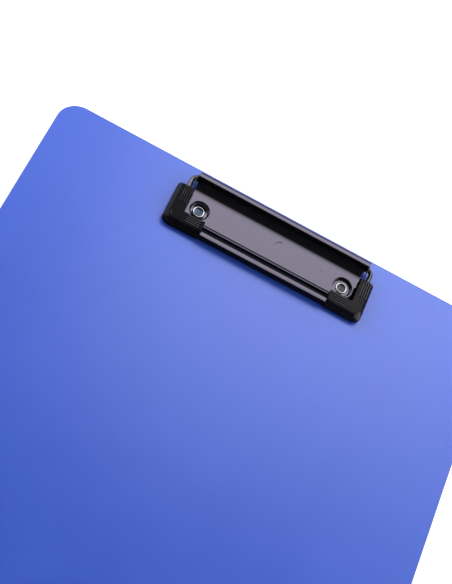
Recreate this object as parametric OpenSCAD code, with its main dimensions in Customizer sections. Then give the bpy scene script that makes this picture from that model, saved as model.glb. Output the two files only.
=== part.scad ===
/* [Box] */
// Width of the box across the short side
body_w = 235; // [190:1:290]
// Length of the box
body_l = 320; // [260:1:400]
// Height from the desk to the writing face
body_h = 24; // [20:0.5:40]
// Radius of the four corners seen from above
corner_r = 10.5; // [6:0.5:20]
// Height of the part of the box that belongs to the lid
lid_h = 8; // [7:0.5:12]
// Thickness of the writing board
board_t = 2.6; // [2:0.1:4]
// Thickness of the side walls
wall_t = 2.2; // [1.8:0.1:3]
// Thickness of the tray floor
floor_t = 2; // [1.5:0.1:3]
// Gap between the tray rim and the lid skirt
seam_gap = 0.3; // [0.2:0.1:0.6]

/* [Tray] */
// Clear width of the pen channel
channel_w = 14; // [11:0.5:20]
// Thickness of the divider beside the pen channel
divider_t = 1.8; // [1.2:0.1:3]
// Height of the divider above the tray floor
divider_h = 11; // [6:0.5:12]
// Length of the small bin at the end of the pen channel
bin_l = 62; // [30:1:100]
// Thickness of the locating tongue inside the rim
tongue_t = 1.2; // [1:0.1:1.6]
// Height that the tongue stands up into the lid
tongue_rise = 2.2; // [1.5:0.1:3]

/* [Lid hinge] */
// Distance of each hinge from the middle of the box
hinge_offset = 64; // [50:1:72]
// Length of one hinge knuckle
knuckle_l = 8; // [6:0.5:10]
// Number of knuckles in each hinge
knuckle_count = 5; // [3:2:7]
// Outside radius of a knuckle
knuckle_r = 3.2; // [2.8:0.1:3.9]
// Diameter of the hinge pins
hinge_pin_d = 2.5; // [2:0.1:3]
// Distance that the hinge axis stands out from the side wall
hinge_out = 0.8; // [0.6:0.1:1.5]

/* [Side latch] */
// Width of the latch
latch_w = 30; // [20:1:40]
// Radius of the latch barrel
latch_barrel_r = 2.2; // [2:0.1:2.4]
// Diameter of the latch pin
latch_pin_d = 2; // [1.6:0.1:2.2]
// Thickness of the latch leaf
latch_t = 1.8; // [1.5:0.1:2.2]
// Angle that the released latch stands out from the latched position
latch_rest_angle = 6.5; // [5:0.5:9]

/* [Clip plate] */
// Distance from the top edge of the board to the rivets
rivet_from_edge = 22.1; // [22:0.1:40]
// Distance between the two rivets
rivet_spacing = 76.1; // [70:0.1:80]
// Thickness of the plate's sheet steel
sheet_t = 0.9; // [0.7:0.1:1.1]
// Length of the plate between its two ends
plate_w = 88.8; // [86:0.2:94]
// Height of the plate's flat top above the board
plate_h = 3; // [2.6:0.1:3.4]
// Length of the raised rear lip
lip_w = 91.2; // [89:0.2:96]
// Height of the lip above the board
lip_h = 9.3; // [9:0.1:11.2]
// Depth of the lip from the wall to its rolled rear edge
lip_d = 3.1; // [2.6:0.1:3.5]
// Radius of the sweep from the flat up to the lip
sweep_r = 4.5; // [4:0.1:5]
// Diameter of the round dish at each rivet
dish_d = 10; // [9:0.1:11]

/* [Clip jaw] */
// Diameter of the bail's spring wire
wire_d = 2.2; // [1.8:0.1:2.4]
// Distance between the centrelines of the bail's side legs
bail_w = 96.8; // [96:0.2:104]
// Height of the jaw above the board
jaw_h = 5; // [4.6:0.1:5.6]
// Depth of the jaw's top ledge
ledge_d = 2.7; // [2:0.1:3]
// Overall length of the clip across both caps
caps_w = 104.4; // [103:0.2:112]
// Distance from the rivets to the front of the caps
caps_front = 13.6; // [13.4:0.1:16]
// Length of each cap's front arm along the jaw
front_arm_l = 19.2; // [14:0.1:22]
// Number of grip ribs on a cap's side arm
side_rib_count = 6; // [3:1:6]
// Number of grip ribs on a cap's front arm
front_rib_count = 4; // [3:1:5]

/* [Hidden] */
$fn = 48;
eps = 0.01;

board_blue = [0.27, 0.38, 0.84];
clip_black = [0.07, 0.07, 0.08];
rubber_black = [0.13, 0.13, 0.14];
steel_grey = [0.62, 0.63, 0.66];

fit = 0.05;          // radial clearance of a pin in its bore
near = 0.3;          // gap between pieces that move past each other
touch = 0.05;        // gap between pieces that are seated on each other
half_w = body_w / 2;
half_l = body_l / 2;
board_z = body_h;

// Parting plane of the two shells
tray_h = body_h - lid_h;
lid_z = tray_h + seam_gap;
board_under = board_z - board_t;
foot_round = 1.5;    // rounding of the tray's lower edge
edge_round = 0.4;    // rounding of the board's upper edge
tongue_step = 0.4;   // distance from the wall's inner face to the tongue
tongue_root = 4;     // height of the tongue's foot down the wall
dip_r = 18;          // radius of the dip in the divider where a finger reaches a pen
dip_y = 20;
dip_d = 6;
board_rib_t = 1.6;
board_rib_h = 1.4;

// Lid hinge
hinge_x = -half_w - hinge_out;
hinge_z = tray_h + seam_gap / 2;
knuckle_gap = 0.4;
knuckle_pitch = knuckle_l + knuckle_gap;
hinge_l = knuckle_count * knuckle_pitch - knuckle_gap;
hinge_ys = [-hinge_offset, hinge_offset];
hinge_boss_t = knuckle_r + near + 1.6 - hinge_out;
hinge_boss_end = 3;
hinge_boss_l = hinge_l + 2 * hinge_boss_end;
hinge_boss_drop = knuckle_r + near + 4;
gusset_drop = 1.7 * knuckle_r;
gusset_turn = 20;    // angle round the knuckle at which its gusset starts

// Side latch
latch_axis_x = half_w + 1.6;
latch_axis_z = board_z - 3.4;
latch_ear_l = 3;
latch_ear_root = 2.5;
latch_gap = near;
latch_pin_l = latch_w + 2 * (latch_gap + latch_ear_l);
catch_out = 1;       // how far the tray's catch stands out of the wall
catch_h = 2;
catch_inset = 2;     // distance from the latch's sides to the catch's ends
catch_top = latch_axis_z - 9;
catch_bottom = catch_top - catch_h;
leaf_in = half_w + catch_out + near;
hook_in = half_w + near;
hook_top = catch_bottom - near;
hook_h = 1.9;
hook_tip = 0.6;      // height of the hook's blunt tip
leaf_bottom = hook_top - hook_h;
pull_out = 1.4;      // how far the finger pull flares outwards
pull_h = 1.9;
pull_t = 1;

// Clip frame: origin on the board's face, half way between the rivets
clip_y = half_l - rivet_from_edge;
rivet_x = rivet_spacing / 2;
flat_front = -5.8;
strip_front = -6.7;
strip_drop = 0.6;
flat_rear = 8.5;
wall_y = flat_rear + sweep_r;
lip_bend_r = 0.5;    // outer radius of the bend at the lip's front
lip_roll_r = 1.25;   // outer radius of the lip's rolled rear edge
lip_roll_drop = 0.5; // length that the rolled edge runs on downwards
sweep_z = plate_h + sweep_r;
plate_foot = 0.15;
notch_y = 2.8;       // rear end of the relief beside the right rivet
notch_d = 1.05;
rivet_hole_r = 2.6;
dish_wall_foot = 4.15;
dish_wall_z = 1.35;  // height at the foot of the dish's wall
dish_seat_z = 1;     // height of its shallow cone at the rivet hole
dish_under_r = 3.6;

// Bail: a flat loop of wire that leans from the jaw up to the rear bar
wire_r = wire_d / 2;
jaw_front = -13.3;
jaw_t = 0.8;
jaw_foot = 0.35;
jaw_bend_r = 0.7;    // outer radius of the bend at the jaw's upper front edge
bar_y = 15.1;
bar_z = 3.4;
front_y = jaw_front + jaw_t + touch + wire_r;
front_z = jaw_h - jaw_t - touch - wire_r;
bail_lean = atan2(bar_z - front_z, bar_y - front_y);
bail_l = round(norm([bar_y - front_y, bar_z - front_z]) * 100) / 100;
front_bend_r = 4;
rear_bend_r = 2.8;
butt_gap = 0.4;      // gap between the two wire ends in the rear bar
ear_x = 37.6;        // inner face of each ear
ear_t = 1;
ear_r = 2.3;
jaw_half = caps_w / 2 - front_arm_l - touch;
jaw_foot_d = strip_front - 0.5 - jaw_front;
jaw_foot_t = 0.7;
crimp_t = 0.7;
crimp_w = 6;
crimp_xs = [-22, 0, 22];

// Corner caps
cap_half = caps_w / 2;
cap_in = plate_w / 2 + near + 0.05;
cap_rear = 9.5;
cap_foot = 0.3;
cap_foot_inset = 0.5;
cap_widest = 1.2;    // height from which the skirt stands at its widest
cap_skirt = 2.5;
cap_top = jaw_h + 0.2;
cap_side_inset = 1.9;
cap_front_inset = 2.5;
cap_rear_inset = 1.7;
cap_corner_r = 3.4;
cap_crest_r = 3.6;   // radius of the outer front corner of its top
cap_edge_r = 0.9;    // radius of the cap's other corners seen from above
cap_rear_r = 2;      // radius of its outer rear corner
cap_small_r = 0.6;   // radius of the other corners of its top
arm_under = plate_h + 0.4;
arm_low_rear = strip_front - 0.4;
arm_top_rear = -5.5;
arm_in = cap_half - front_arm_l;
rib_w = 0.45;
side_rib_pitch = 0.85;
side_rib_l = 9;
front_rib_pitch = 1.15;
front_rib_l = 7;
rib_h = 0.35;
rib_root = 0.8;      // depth that the ribs run down into the cap
rib_inset = 0.3;     // distance from the edges of the cap's top to the first rib
rim_w = 1.2;         // width of the raised rim at the front arm's inner end
rim_h = 0.45;

// Torsion springs
spring_wire_d = 0.7;
spring_r = wire_r + 0.2 + spring_wire_d / 2;
spring_turns = 7;
spring_pitch = 0.71;
spring_x = bail_w / 2 - 6.6;
leg_r = 0.31;
leg_l = 9;
under_leg_z = plate_h - sheet_t - touch - leg_r;
leg_lean = 8.5;      // slope of the leg that runs down into the cap
leg_slot = 0.41;     // half the width of the slot for that leg in the cap's rear
leg_slot_front = 6.9;
cap_leg_l = 7.75;

// Rivets and their washers
rivet_shank_r = 2.45;
rivet_hollow_r = 2.05;
ring_r = 0.35;
ring_seat = dish_seat_z + touch + 0.03;
washer_t = 0.8;
washer_r = 5;
rivet_head_t = 0.9;

// Rectangle with rounded corners, centred on the origin
module rounded_rect(w, l, r) {
    square([w - 2 * r, l], center = true);
    square([w, l - 2 * r], center = true);
    for (x = [-1, 1], y = [-1, 1])
        translate([x * (w / 2 - r), y * (l / 2 - r)])
            circle(r);
}

// Right half of a section of width 2 w and height h, whose upper corner is rounded by e
module half_section(w, h, e) {
    square([w, h - e]);
    square([w - e, h]);
    translate([w - e, h - e])
        circle(e);
}

module whole_section(w, h, e) {
    half_section(w / 2, h, e);
    mirror([1, 0])
        half_section(w / 2, h, e);
}

// Rounded rectangular block from z = 0, whose outer edge at the top is rounded by e
module rounded_block(w, l, r, h, e) {
    rotate([90, 0, 0])
        linear_extrude(l - 2 * r, center = true)
            whole_section(w, h, e);
    rotate([90, 0, 90])
        linear_extrude(w - 2 * r, center = true)
            whole_section(l, h, e);
    for (x = [-1, 1], y = [-1, 1])
        translate([x * (w / 2 - r), y * (l / 2 - r), 0])
            rotate([0, 0, x > 0 ? 180 : 0])
                rotate_extrude()
                    half_section(r, h, e);
}

// Cylinder along Y, centred on the origin
module rod_y(r, l) {
    rotate([90, 0, 0])
        cylinder(r = r, h = l, center = true);
}

// Cylinder along X, centred on the origin
module rod_x(r, l) {
    rotate([0, 90, 0])
        cylinder(r = r, h = l, center = true);
}

// Places its children at each knuckle of one leaf: even places for the tray, odd for the lid
module each_knuckle(y, first) {
    for (i = [first : 2 : knuckle_count - 1])
        translate([hinge_x, y - hinge_l / 2 + knuckle_l / 2 + i * knuckle_pitch, hinge_z])
            children();
}

// Room that the other leaf's knuckles need in a wall
module knuckle_room(y, first) {
    each_knuckle(y, first)
        rod_y(knuckle_r + near, knuckle_l + 2 * knuckle_gap);
}

// A knuckle with the gusset that runs from it down the tray's wall, or up the lid's
module knuckle(up) {
    rod_y(knuckle_r, knuckle_l);
    mirror([0, 0, up ? 1 : 0])
        translate([0, knuckle_l / 2, 0])
            rotate([90, 0, 0])
                linear_extrude(knuckle_l)
                    polygon([
                        [0, -seam_gap / 2], [-knuckle_r * sin(gusset_turn), -knuckle_r * cos(gusset_turn)],
                        [hinge_out, -gusset_drop], [hinge_out + wall_t, -gusset_drop],
                        [hinge_out + wall_t, -seam_gap / 2]]);
}

module hinge_bores() {
    for (y = hinge_ys)
        translate([hinge_x, y, hinge_z])
            rod_y(hinge_pin_d / 2 + fit, hinge_l + 2);
}

module tray_shell() {
    difference() {
        translate([0, 0, tray_h])
            mirror([0, 0, 1])
                rounded_block(body_w, body_l, corner_r, tray_h, foot_round);
        translate([0, 0, floor_t])
            linear_extrude(tray_h)
                rounded_rect(body_w - 2 * wall_t, body_l - 2 * wall_t, corner_r - wall_t);
    }
}

// Tongue that locates the lid, on a step inside the rim
module rim_tongue() {
    outer = wall_t + tongue_step;
    inner = outer + tongue_t;
    difference() {
        translate([0, 0, tray_h - tongue_root]) {
            linear_extrude(tongue_root)
                rounded_rect(body_w - wall_t, body_l - wall_t, corner_r - wall_t / 2);
            linear_extrude(tongue_root + tongue_rise)
                rounded_rect(body_w - 2 * outer, body_l - 2 * outer, corner_r - outer);
        }
        translate([0, 0, tray_h - tongue_root - 1])
            linear_extrude(tongue_root + tongue_rise + 2)
                rounded_rect(body_w - 2 * inner, body_l - 2 * inner, corner_r - inner);
        for (y = hinge_ys)
            translate([-half_w, y - hinge_boss_l / 2 - near, tray_h])
                cube([hinge_boss_t + 2 * near, hinge_boss_l + 2 * near, tongue_rise + 1]);
    }
}

// Divider of the pen channel, dipped in the middle so that a finger can lift a pen
module pen_divider() {
    x = half_w - wall_t - channel_w - divider_t;
    inner_l = body_l - 2 * wall_t + 1;
    difference() {
        translate([x, -inner_l / 2, floor_t - 0.5])
            cube([divider_t, inner_l, divider_h + 0.5]);
        translate([x + divider_t / 2, dip_y, floor_t + divider_h + dip_r - dip_d])
            rod_x(dip_r, divider_t + 2);
    }
    translate([x, -half_l + wall_t + bin_l, floor_t - 0.5])
        cube([channel_w + divider_t + 1, divider_t, divider_h - 1]);
}

module base_tray() color(board_blue) {
    difference() {
        union() {
            tray_shell();
            rim_tongue();
            pen_divider();
            for (y = hinge_ys) {
                translate([-half_w + eps, y - hinge_boss_l / 2, tray_h - hinge_boss_drop])
                    cube([hinge_boss_t, hinge_boss_l, hinge_boss_drop]);
            }
            translate([half_w - eps, catch_inset - latch_w / 2, catch_bottom])
                cube([catch_out + eps, latch_w - 2 * catch_inset, catch_h]);
        }
        for (y = hinge_ys)
            knuckle_room(y, 1);
        hinge_bores();
    }
    difference() {
        for (y = hinge_ys)
            each_knuckle(y, 0)
                knuckle(false);
        hinge_bores();
    }
}

// Low ribs that stiffen the board from inside
module board_ribs() {
    end_gap = wall_t + tongue_step + tongue_t + 2;
    run_l = body_l - 2 * end_gap;
    run_w = body_w - 2 * end_gap;
    for (i = [-1 : 1]) {
        translate([(i * run_w / 2 - board_rib_t) / 2, -run_l / 2, board_under - board_rib_h])
            cube([board_rib_t, run_l, board_rib_h + eps]);
        translate([-run_w / 2, (i * run_l / 2 - board_rib_t) / 2, board_under - board_rib_h])
            cube([run_w, board_rib_t, board_rib_h + eps]);
    }
}

module lid_shell() {
    difference() {
        translate([0, 0, lid_z])
            rounded_block(body_w, body_l, corner_r, board_z - lid_z, edge_round);
        translate([0, 0, lid_z - 1])
            linear_extrude(board_under - lid_z + 1)
                rounded_rect(body_w - 2 * wall_t, body_l - 2 * wall_t, corner_r - wall_t);
    }
}

module latch_ears() {
    for (s = [-1, 1])
        translate([latch_axis_x, s * (latch_w / 2 + latch_gap + latch_ear_l / 2), latch_axis_z]) {
            rod_y(latch_barrel_r, latch_ear_l);
            translate([-latch_ear_root, -latch_ear_l / 2, -latch_barrel_r])
                cube([latch_ear_root, latch_ear_l, 2 * latch_barrel_r]);
        }
}

module lid_board() color(board_blue) {
    difference() {
        union() {
            lid_shell();
            board_ribs();
            latch_ears();
            for (y = hinge_ys)
                translate([-half_w + eps, y - hinge_boss_l / 2, lid_z])
                    cube([hinge_boss_t, hinge_boss_l, board_under - lid_z + 0.5]);
        }
        for (y = hinge_ys)
            knuckle_room(y, 0);
        hinge_bores();
        translate([latch_axis_x, 0, latch_axis_z]) {
            rod_y(latch_barrel_r + near, latch_w + 2 * latch_gap);
            rod_y(latch_pin_d / 2 + fit, latch_pin_l + 1);
        }
        for (s = [-1, 1])
            translate([s * rivet_x, clip_y, board_under - 3])
                cylinder(r = rivet_hole_r, h = board_t + 4);
    }
    difference() {
        for (y = hinge_ys)
            each_knuckle(y, 1)
                knuckle(true);
        hinge_bores();
    }
}

module hinge_pin(y) {
    translate([hinge_x, y, hinge_z])
        rod_y(hinge_pin_d / 2, hinge_l - 0.4);
}

module hinge_pin_upper() color(steel_grey) hinge_pin(hinge_offset);
module hinge_pin_lower() color(steel_grey) hinge_pin(-hinge_offset);

// Section of the latch leaf as it hangs when it is latched
module latch_section() {
    leaf_out = leaf_in + latch_t;
    translate([latch_axis_x, latch_axis_z])
        circle(latch_barrel_r);
    polygon([
        [leaf_in, latch_axis_z], [leaf_in, hook_top], [hook_in, hook_top], [hook_in, hook_top - hook_tip],
        [leaf_in, leaf_bottom], [leaf_in, leaf_bottom - pull_h], [leaf_out + pull_out, leaf_bottom - pull_h],
        [leaf_out + pull_out, leaf_bottom - pull_h + pull_t], [leaf_out, leaf_bottom + pull_out],
        [leaf_out, latch_axis_z]]);
}

module side_latch() color(board_blue)
    translate([latch_axis_x, 0, latch_axis_z])
        rotate([0, -latch_rest_angle, 0])
            translate([-latch_axis_x, 0, -latch_axis_z])
                difference() {
                    translate([0, latch_w / 2, 0])
                        rotate([90, 0, 0])
                            linear_extrude(latch_w)
                                latch_section();
                    translate([latch_axis_x, 0, latch_axis_z])
                        rod_y(latch_pin_d / 2 + fit, latch_w + 2);
                }

module latch_pin() color(steel_grey)
    translate([latch_axis_x, 0, latch_axis_z])
        rod_y(latch_pin_d / 2, latch_pin_l - 0.2);

// Moves its children into the clip's own frame
module in_clip() {
    translate([0, clip_y, board_z])
        children();
}

// Extrudes a section drawn in Y and Z along X
module along_x(from, to) {
    translate([from, 0, 0])
        rotate([90, 0, 90])
            linear_extrude(to - from)
                children();
}

// Ring sector between two radii, from the lowest point round towards +Y
module sweep_section(inner, outer, top) {
    intersection() {
        difference() {
            translate([flat_rear, sweep_z])
                circle(outer, $fn = 96);
            translate([flat_rear, sweep_z])
                circle(inner, $fn = 96);
        }
        translate([flat_rear, sweep_z - outer - 1])
            square([outer + 1, top]);
    }
}

// Section of the plate behind the rivets: flat, sweep, wall and lip
module rear_section(from) {
    translate([from, plate_h - sheet_t])
        square([flat_rear - from + eps, sheet_t]);
    sweep_section(sweep_r, sweep_r + sheet_t, sweep_r + sheet_t + 1);
    translate([wall_y, sweep_z - eps])
        square([sheet_t, lip_h - sweep_z - lip_bend_r + eps]);
    translate([wall_y + lip_bend_r, lip_h - lip_bend_r])
        intersection() {
            circle(lip_bend_r);
            translate([-1, 0])
                square([1, 1]);
        }
    translate([wall_y + lip_bend_r, lip_h - sheet_t])
        square([lip_d - lip_bend_r - lip_roll_r, sheet_t]);
    translate([wall_y + lip_d - lip_roll_r, lip_h - lip_roll_r])
        difference() {
            circle(lip_roll_r);
            circle(lip_roll_r - sheet_t);
            translate([-3, -6])
                square([3, 12]);
            translate([-3, -6])
                square([6, 6]);
        }
    translate([wall_y + lip_d - sheet_t, lip_h - lip_roll_r - lip_roll_drop])
        square([sheet_t, lip_roll_drop + eps]);
}

// Folded front edge: a narrow strip one step down, then the front wall
module front_section() {
    strip_z = plate_h - strip_drop;
    translate([flat_front, plate_h - sheet_t])
        square([3, sheet_t]);
    translate([strip_front, strip_z - sheet_t])
        square([flat_front - strip_front + sheet_t, sheet_t]);
    translate([strip_front, plate_foot])
        square([sheet_t, strip_z - plate_foot - eps]);
}

module plate_ear(side) {
    along_x(side > 0 ? ear_x : -ear_x - ear_t, side > 0 ? ear_x + ear_t : -ear_x)
        difference() {
            union() {
                translate([bar_y, bar_z])
                    circle(ear_r);
                translate([bar_y - ear_r, bar_z])
                    square([wall_y + lip_d - lip_roll_r - bar_y + ear_r, lip_h - sheet_t - bar_z + 0.2]);
            }
            translate([flat_rear, sweep_z])
                circle(sweep_r + sheet_t / 2, $fn = 96);
            translate([bar_y, bar_z])
                circle(wire_r + fit);
        }
}

// Round dish pressed down to the board, with the rivet hole in its floor
module dish(x) {
    translate([x, 0, 0])
        rotate_extrude()
            polygon([
                [rivet_hole_r, 0], [dish_under_r, 0], [dish_d / 2 + 0.3, plate_h - sheet_t],
                [dish_d / 2 + 0.3, plate_h], [dish_d / 2, plate_h],
                [dish_wall_foot, dish_wall_z], [rivet_hole_r, dish_seat_z]]);
}

module clip_plate() color(clip_black) in_clip() {
    half = plate_w / 2;
    difference() {
        union() {
            along_x(-half, half)
                rear_section(flat_front);
            intersection() {
                along_x(-lip_w / 2, lip_w / 2)
                    rear_section(flat_front);
                translate([-half - 5, wall_y - 1.1, plate_h + 1])
                    cube([2 * half + 10, 10, 10]);
            }
            along_x(-half, half)
                front_section();
            for (s = [-1, 1])
                translate([s > 0 ? half - sheet_t : -half, strip_front, plate_foot])
                    cube([sheet_t, flat_rear - strip_front, plate_h - plate_foot - strip_drop]);
            plate_ear(-1);
            plate_ear(1);
        }
        for (s = [-1, 1])
            translate([s * rivet_x, 0, -1])
                cylinder(d = dish_d, h = plate_h + 2);
        translate([half - notch_d, strip_front - 1, -1])
            cube([notch_d + 1, notch_y - strip_front + 1, plate_h + 2]);
    }
    difference() {
        union() {
            dish(-rivet_x);
            dish(rivet_x);
        }
        translate([half - notch_d, strip_front - 1, -1])
            cube([notch_d + 1, notch_y - strip_front + 1, plate_h + 2]);
    }
}

// Quarter bend of round bar: centre of the bend at the origin, from +X round to +Y
module bend(r, bend_r) {
    rotate_extrude(angle = 90)
        translate([bend_r, 0])
            circle(r);
}

// The bail's loop in its own plane, with the front run on the X axis
module bail_loop(r) {
    half = bail_w / 2;
    rod_x(r, 2 * (half - front_bend_r));
    for (s = [-1, 1]) {
        mirror([s < 0 ? 1 : 0, 0, 0]) {
            translate([half - front_bend_r, front_bend_r, 0])
                rotate([0, 0, -90])
                    bend(r, front_bend_r);
            translate([half, front_bend_r, 0])
                rotate([-90, 0, 0])
                    cylinder(r = r, h = bail_l - front_bend_r - rear_bend_r);
            translate([half - rear_bend_r, bail_l - rear_bend_r, 0])
                bend(r, rear_bend_r);
            translate([butt_gap / 2, bail_l, 0])
                rotate([0, 90, 0])
                    cylinder(r = r, h = half - rear_bend_r - butt_gap / 2);
        }
    }
}

module bail_place() {
    translate([0, front_y, front_z])
        rotate([bail_lean, 0, 0])
            children();
}

module bail_wire() color(steel_grey) in_clip() bail_place() bail_loop(wire_r);

// Jaw: ledge, front wall and inturned foot, with three straps crimped round the wire
module jaw_section(grow) {
    translate([jaw_front - grow, jaw_foot - grow])
        square([jaw_t + 2 * grow, jaw_h - jaw_bend_r - jaw_foot + grow]);
    translate([jaw_front + jaw_bend_r, jaw_h - jaw_t - grow])
        square([ledge_d - jaw_bend_r + grow, jaw_t + 2 * grow]);
    translate([jaw_front + jaw_bend_r, jaw_h - jaw_bend_r])
        intersection() {
            circle(jaw_bend_r + grow);
            translate([-2, 0])
                square([2, 2]);
        }
    translate([jaw_front - grow, jaw_foot - grow])
        square([jaw_foot_d + 2 * grow, jaw_foot_t + 2 * grow]);
}

module crimp_section() {
    translate([front_y, front_z])
        difference() {
            circle(wire_r + touch + crimp_t);
            circle(wire_r + touch);
            translate([-5, -5])
                square([5, 10]);
        }
}

module jaw_bar() color(clip_black) in_clip() {
    along_x(-jaw_half, jaw_half)
        jaw_section(0);
    for (x = crimp_xs)
        along_x(x - crimp_w / 2, x + crimp_w / 2)
            crimp_section();
}

// Upright post with a round outline, one corner of a cap's arm
module cap_post(x, y, r, bottom, top) {
    translate([x, y, bottom])
        cylinder(r = r, h = top - bottom, $fn = 32);
}

// Four corner posts of a cap's arm, each side drawn in by its own distance
module arm_posts(inner, rear, side_in, front_in, rear_in, corner, rear_corner, small, bottom, top) {
    side = cap_half - side_in;
    front = front_in - caps_front;
    cap_post(side - corner, front + corner, corner, bottom, top);
    cap_post(inner + small, front + small, small, bottom, top);
    cap_post(inner + small, rear - rear_in - small, small, bottom, top);
    cap_post(side - rear_corner, rear - rear_in - rear_corner, rear_corner, bottom, top);
}

// One arm: drawn in at the foot, upright in the middle, and sloped up to its top
module arm(inner, rear, rear_in, rear_corner) {
    hull() {
        arm_posts(inner, rear, cap_foot_inset, cap_foot_inset, 0, cap_corner_r, rear_corner, cap_edge_r,
            cap_foot, cap_skirt);
        arm_posts(inner, rear, 0, 0, 0, cap_corner_r, rear_corner, cap_edge_r, cap_widest, cap_skirt);
        arm_posts(inner, rear, cap_side_inset, cap_front_inset, rear_in, cap_crest_r, cap_small_r, cap_small_r,
            cap_skirt, cap_top);
    }
}

module cap_arms() {
    arm(cap_in, cap_rear, cap_rear_inset, cap_rear_r);
    arm(arm_in, arm_low_rear, 0, cap_small_r);
    // Flap over the plate's front edge
    translate([arm_in + cap_small_r, arm_low_rear - cap_small_r, arm_under])
        cube([cap_in + 1 - arm_in, arm_top_rear - arm_low_rear + cap_small_r, cap_top - arm_under - 0.4]);
}

// Grip ribs: along the side arm's rear part, and along the front arm between its rim and the corner
module cap_ribs() {
    root_z = cap_top - rib_root;
    side_rear = cap_rear - cap_rear_inset - rib_inset;
    front = cap_front_inset + rib_inset - caps_front;
    for (i = [0 : side_rib_count - 1])
        translate([cap_in + rib_inset + i * side_rib_pitch, side_rear - side_rib_l, root_z])
            cube([rib_w, side_rib_l, rib_root + rib_h]);
    for (i = [0 : front_rib_count - 1])
        translate([arm_in + rim_w + 3 * rib_inset, front + 1 + i * front_rib_pitch, root_z])
            cube([front_rib_l, rib_w, rib_root + rib_h]);
    translate([arm_in + rib_inset, front, root_z])
        cube([rim_w, arm_top_rear - front - rib_inset, rib_root + rim_h]);
}

// Room for the plate's end inside the cap, behind y = front and up to a given height
module plate_room(front, top) {
    translate([0, front, -eps])
        cube([cap_in, cap_rear - front + 1, top]);
}

// Slot, open at the top and rear, in which the spring's leg presses the cap down
module cap_leg_slot() {
    slot_x = spring_x + (spring_turns - 1) * spring_pitch - leg_slot;
    slot_floor = bar_z + spring_r * cos(leg_lean) - cap_leg_l * sin(leg_lean) - leg_r - touch;
    translate([slot_x, leg_slot_front, slot_floor])
        cube([2 * leg_slot, cap_rear, cap_top]);
}

module corner_cap() {
    difference() {
        union() {
            cap_arms();
            cap_ribs();
        }
        bail_place()
            bail_loop(wire_r + touch);
        cap_leg_slot();
        plate_room(arm_low_rear, arm_under);
        plate_room(arm_top_rear, cap_top + 1);
    }
}

module corner_cap_right() color(rubber_black) in_clip() corner_cap();
module corner_cap_left() color(rubber_black) in_clip() mirror([1, 0, 0]) corner_cap();

// Semi-tubular rivet: flat head inside the lid, shank, and a rolled ring over the dish floor
module rivet(x) {
    under = -board_t - washer_t - touch;
    translate([x, 0, 0])
        rotate_extrude()
            union() {
                translate([0, under - rivet_head_t])
                    square([3.8, rivet_head_t - touch]);
                translate([0, under - touch - eps])
                    square([rivet_hollow_r, 2]);
                translate([rivet_hollow_r - eps, under - touch - eps])
                    square([rivet_shank_r - rivet_hollow_r + eps, ring_seat + ring_r - under]);
                translate([rivet_shank_r, ring_seat + ring_r])
                    circle(ring_r);
            }
}

module rivet_left() color(steel_grey) in_clip() rivet(-rivet_x);
module rivet_right() color(steel_grey) in_clip() rivet(rivet_x);

module rivet_washer(x) {
    translate([x, 0, -board_t - washer_t])
        difference() {
            cylinder(r = washer_r, h = washer_t - touch);
            translate([0, 0, -1])
                cylinder(r = rivet_shank_r + fit, h = washer_t + 2);
        }
}

module rivet_washer_left() color(steel_grey) in_clip() rivet_washer(-rivet_x);
module rivet_washer_right() color(steel_grey) in_clip() rivet_washer(rivet_x);

// Start and direction of the spring leg that presses the cap down
module cap_leg_place() {
    translate([spring_x + (spring_turns - 1) * spring_pitch, bar_y, bar_z])
        rotate([leg_lean, 0, 0])
            translate([0, 0, spring_r])
                rotate([90, 0, 0])
                    children();
}

// Close-wound spring on the rear bar. One leg lies under the plate, the other in the cap's slot.
module torsion_spring() {
    turn_r = spring_wire_d / 2;
    last_x = (spring_turns - 1) * spring_pitch;
    translate([spring_x, bar_y, bar_z])
        rotate([0, 90, 0])
            rotate_extrude() {
                for (i = [0 : spring_turns - 1])
                    translate([spring_r, i * spring_pitch])
                        circle(turn_r, $fn = 24);
                translate([spring_r - 0.1, 0])
                    square([0.2, last_x]);
            }
    translate([spring_x, bar_y - leg_l, under_leg_z])
        rotate([-90, 0, 0])
            cylinder(r = leg_r, h = leg_l + 0.1, $fn = 24);
    cap_leg_place()
        cylinder(r = leg_r, h = cap_leg_l, $fn = 24);
}

module torsion_spring_right() color(steel_grey) in_clip() torsion_spring();
module torsion_spring_left() color(steel_grey) in_clip() mirror([1, 0, 0]) torsion_spring();

base_tray();
lid_board();
hinge_pin_upper();
hinge_pin_lower();
side_latch();
latch_pin();
clip_plate();
bail_wire();
jaw_bar();
corner_cap_left();
corner_cap_right();
rivet_left();
rivet_right();
rivet_washer_left();
rivet_washer_right();
torsion_spring_left();
torsion_spring_right();
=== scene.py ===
import math

import bmesh
import bpy
import numpy as np
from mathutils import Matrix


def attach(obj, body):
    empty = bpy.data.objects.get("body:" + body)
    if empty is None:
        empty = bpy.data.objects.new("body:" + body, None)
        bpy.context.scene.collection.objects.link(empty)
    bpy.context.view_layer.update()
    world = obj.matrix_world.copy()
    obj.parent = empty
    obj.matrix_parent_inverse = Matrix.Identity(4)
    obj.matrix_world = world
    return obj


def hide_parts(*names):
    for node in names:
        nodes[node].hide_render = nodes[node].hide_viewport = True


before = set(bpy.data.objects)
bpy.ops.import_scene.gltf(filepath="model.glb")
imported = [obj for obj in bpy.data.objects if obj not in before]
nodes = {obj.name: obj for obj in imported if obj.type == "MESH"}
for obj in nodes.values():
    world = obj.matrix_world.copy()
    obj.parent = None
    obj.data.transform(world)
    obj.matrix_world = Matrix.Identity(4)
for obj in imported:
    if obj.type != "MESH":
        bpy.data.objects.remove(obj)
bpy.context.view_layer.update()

print("frame loaded,", len(nodes), "nodes")

mm = 0.001   # clip sizes below are in millimetres and the frame is in metres

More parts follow.
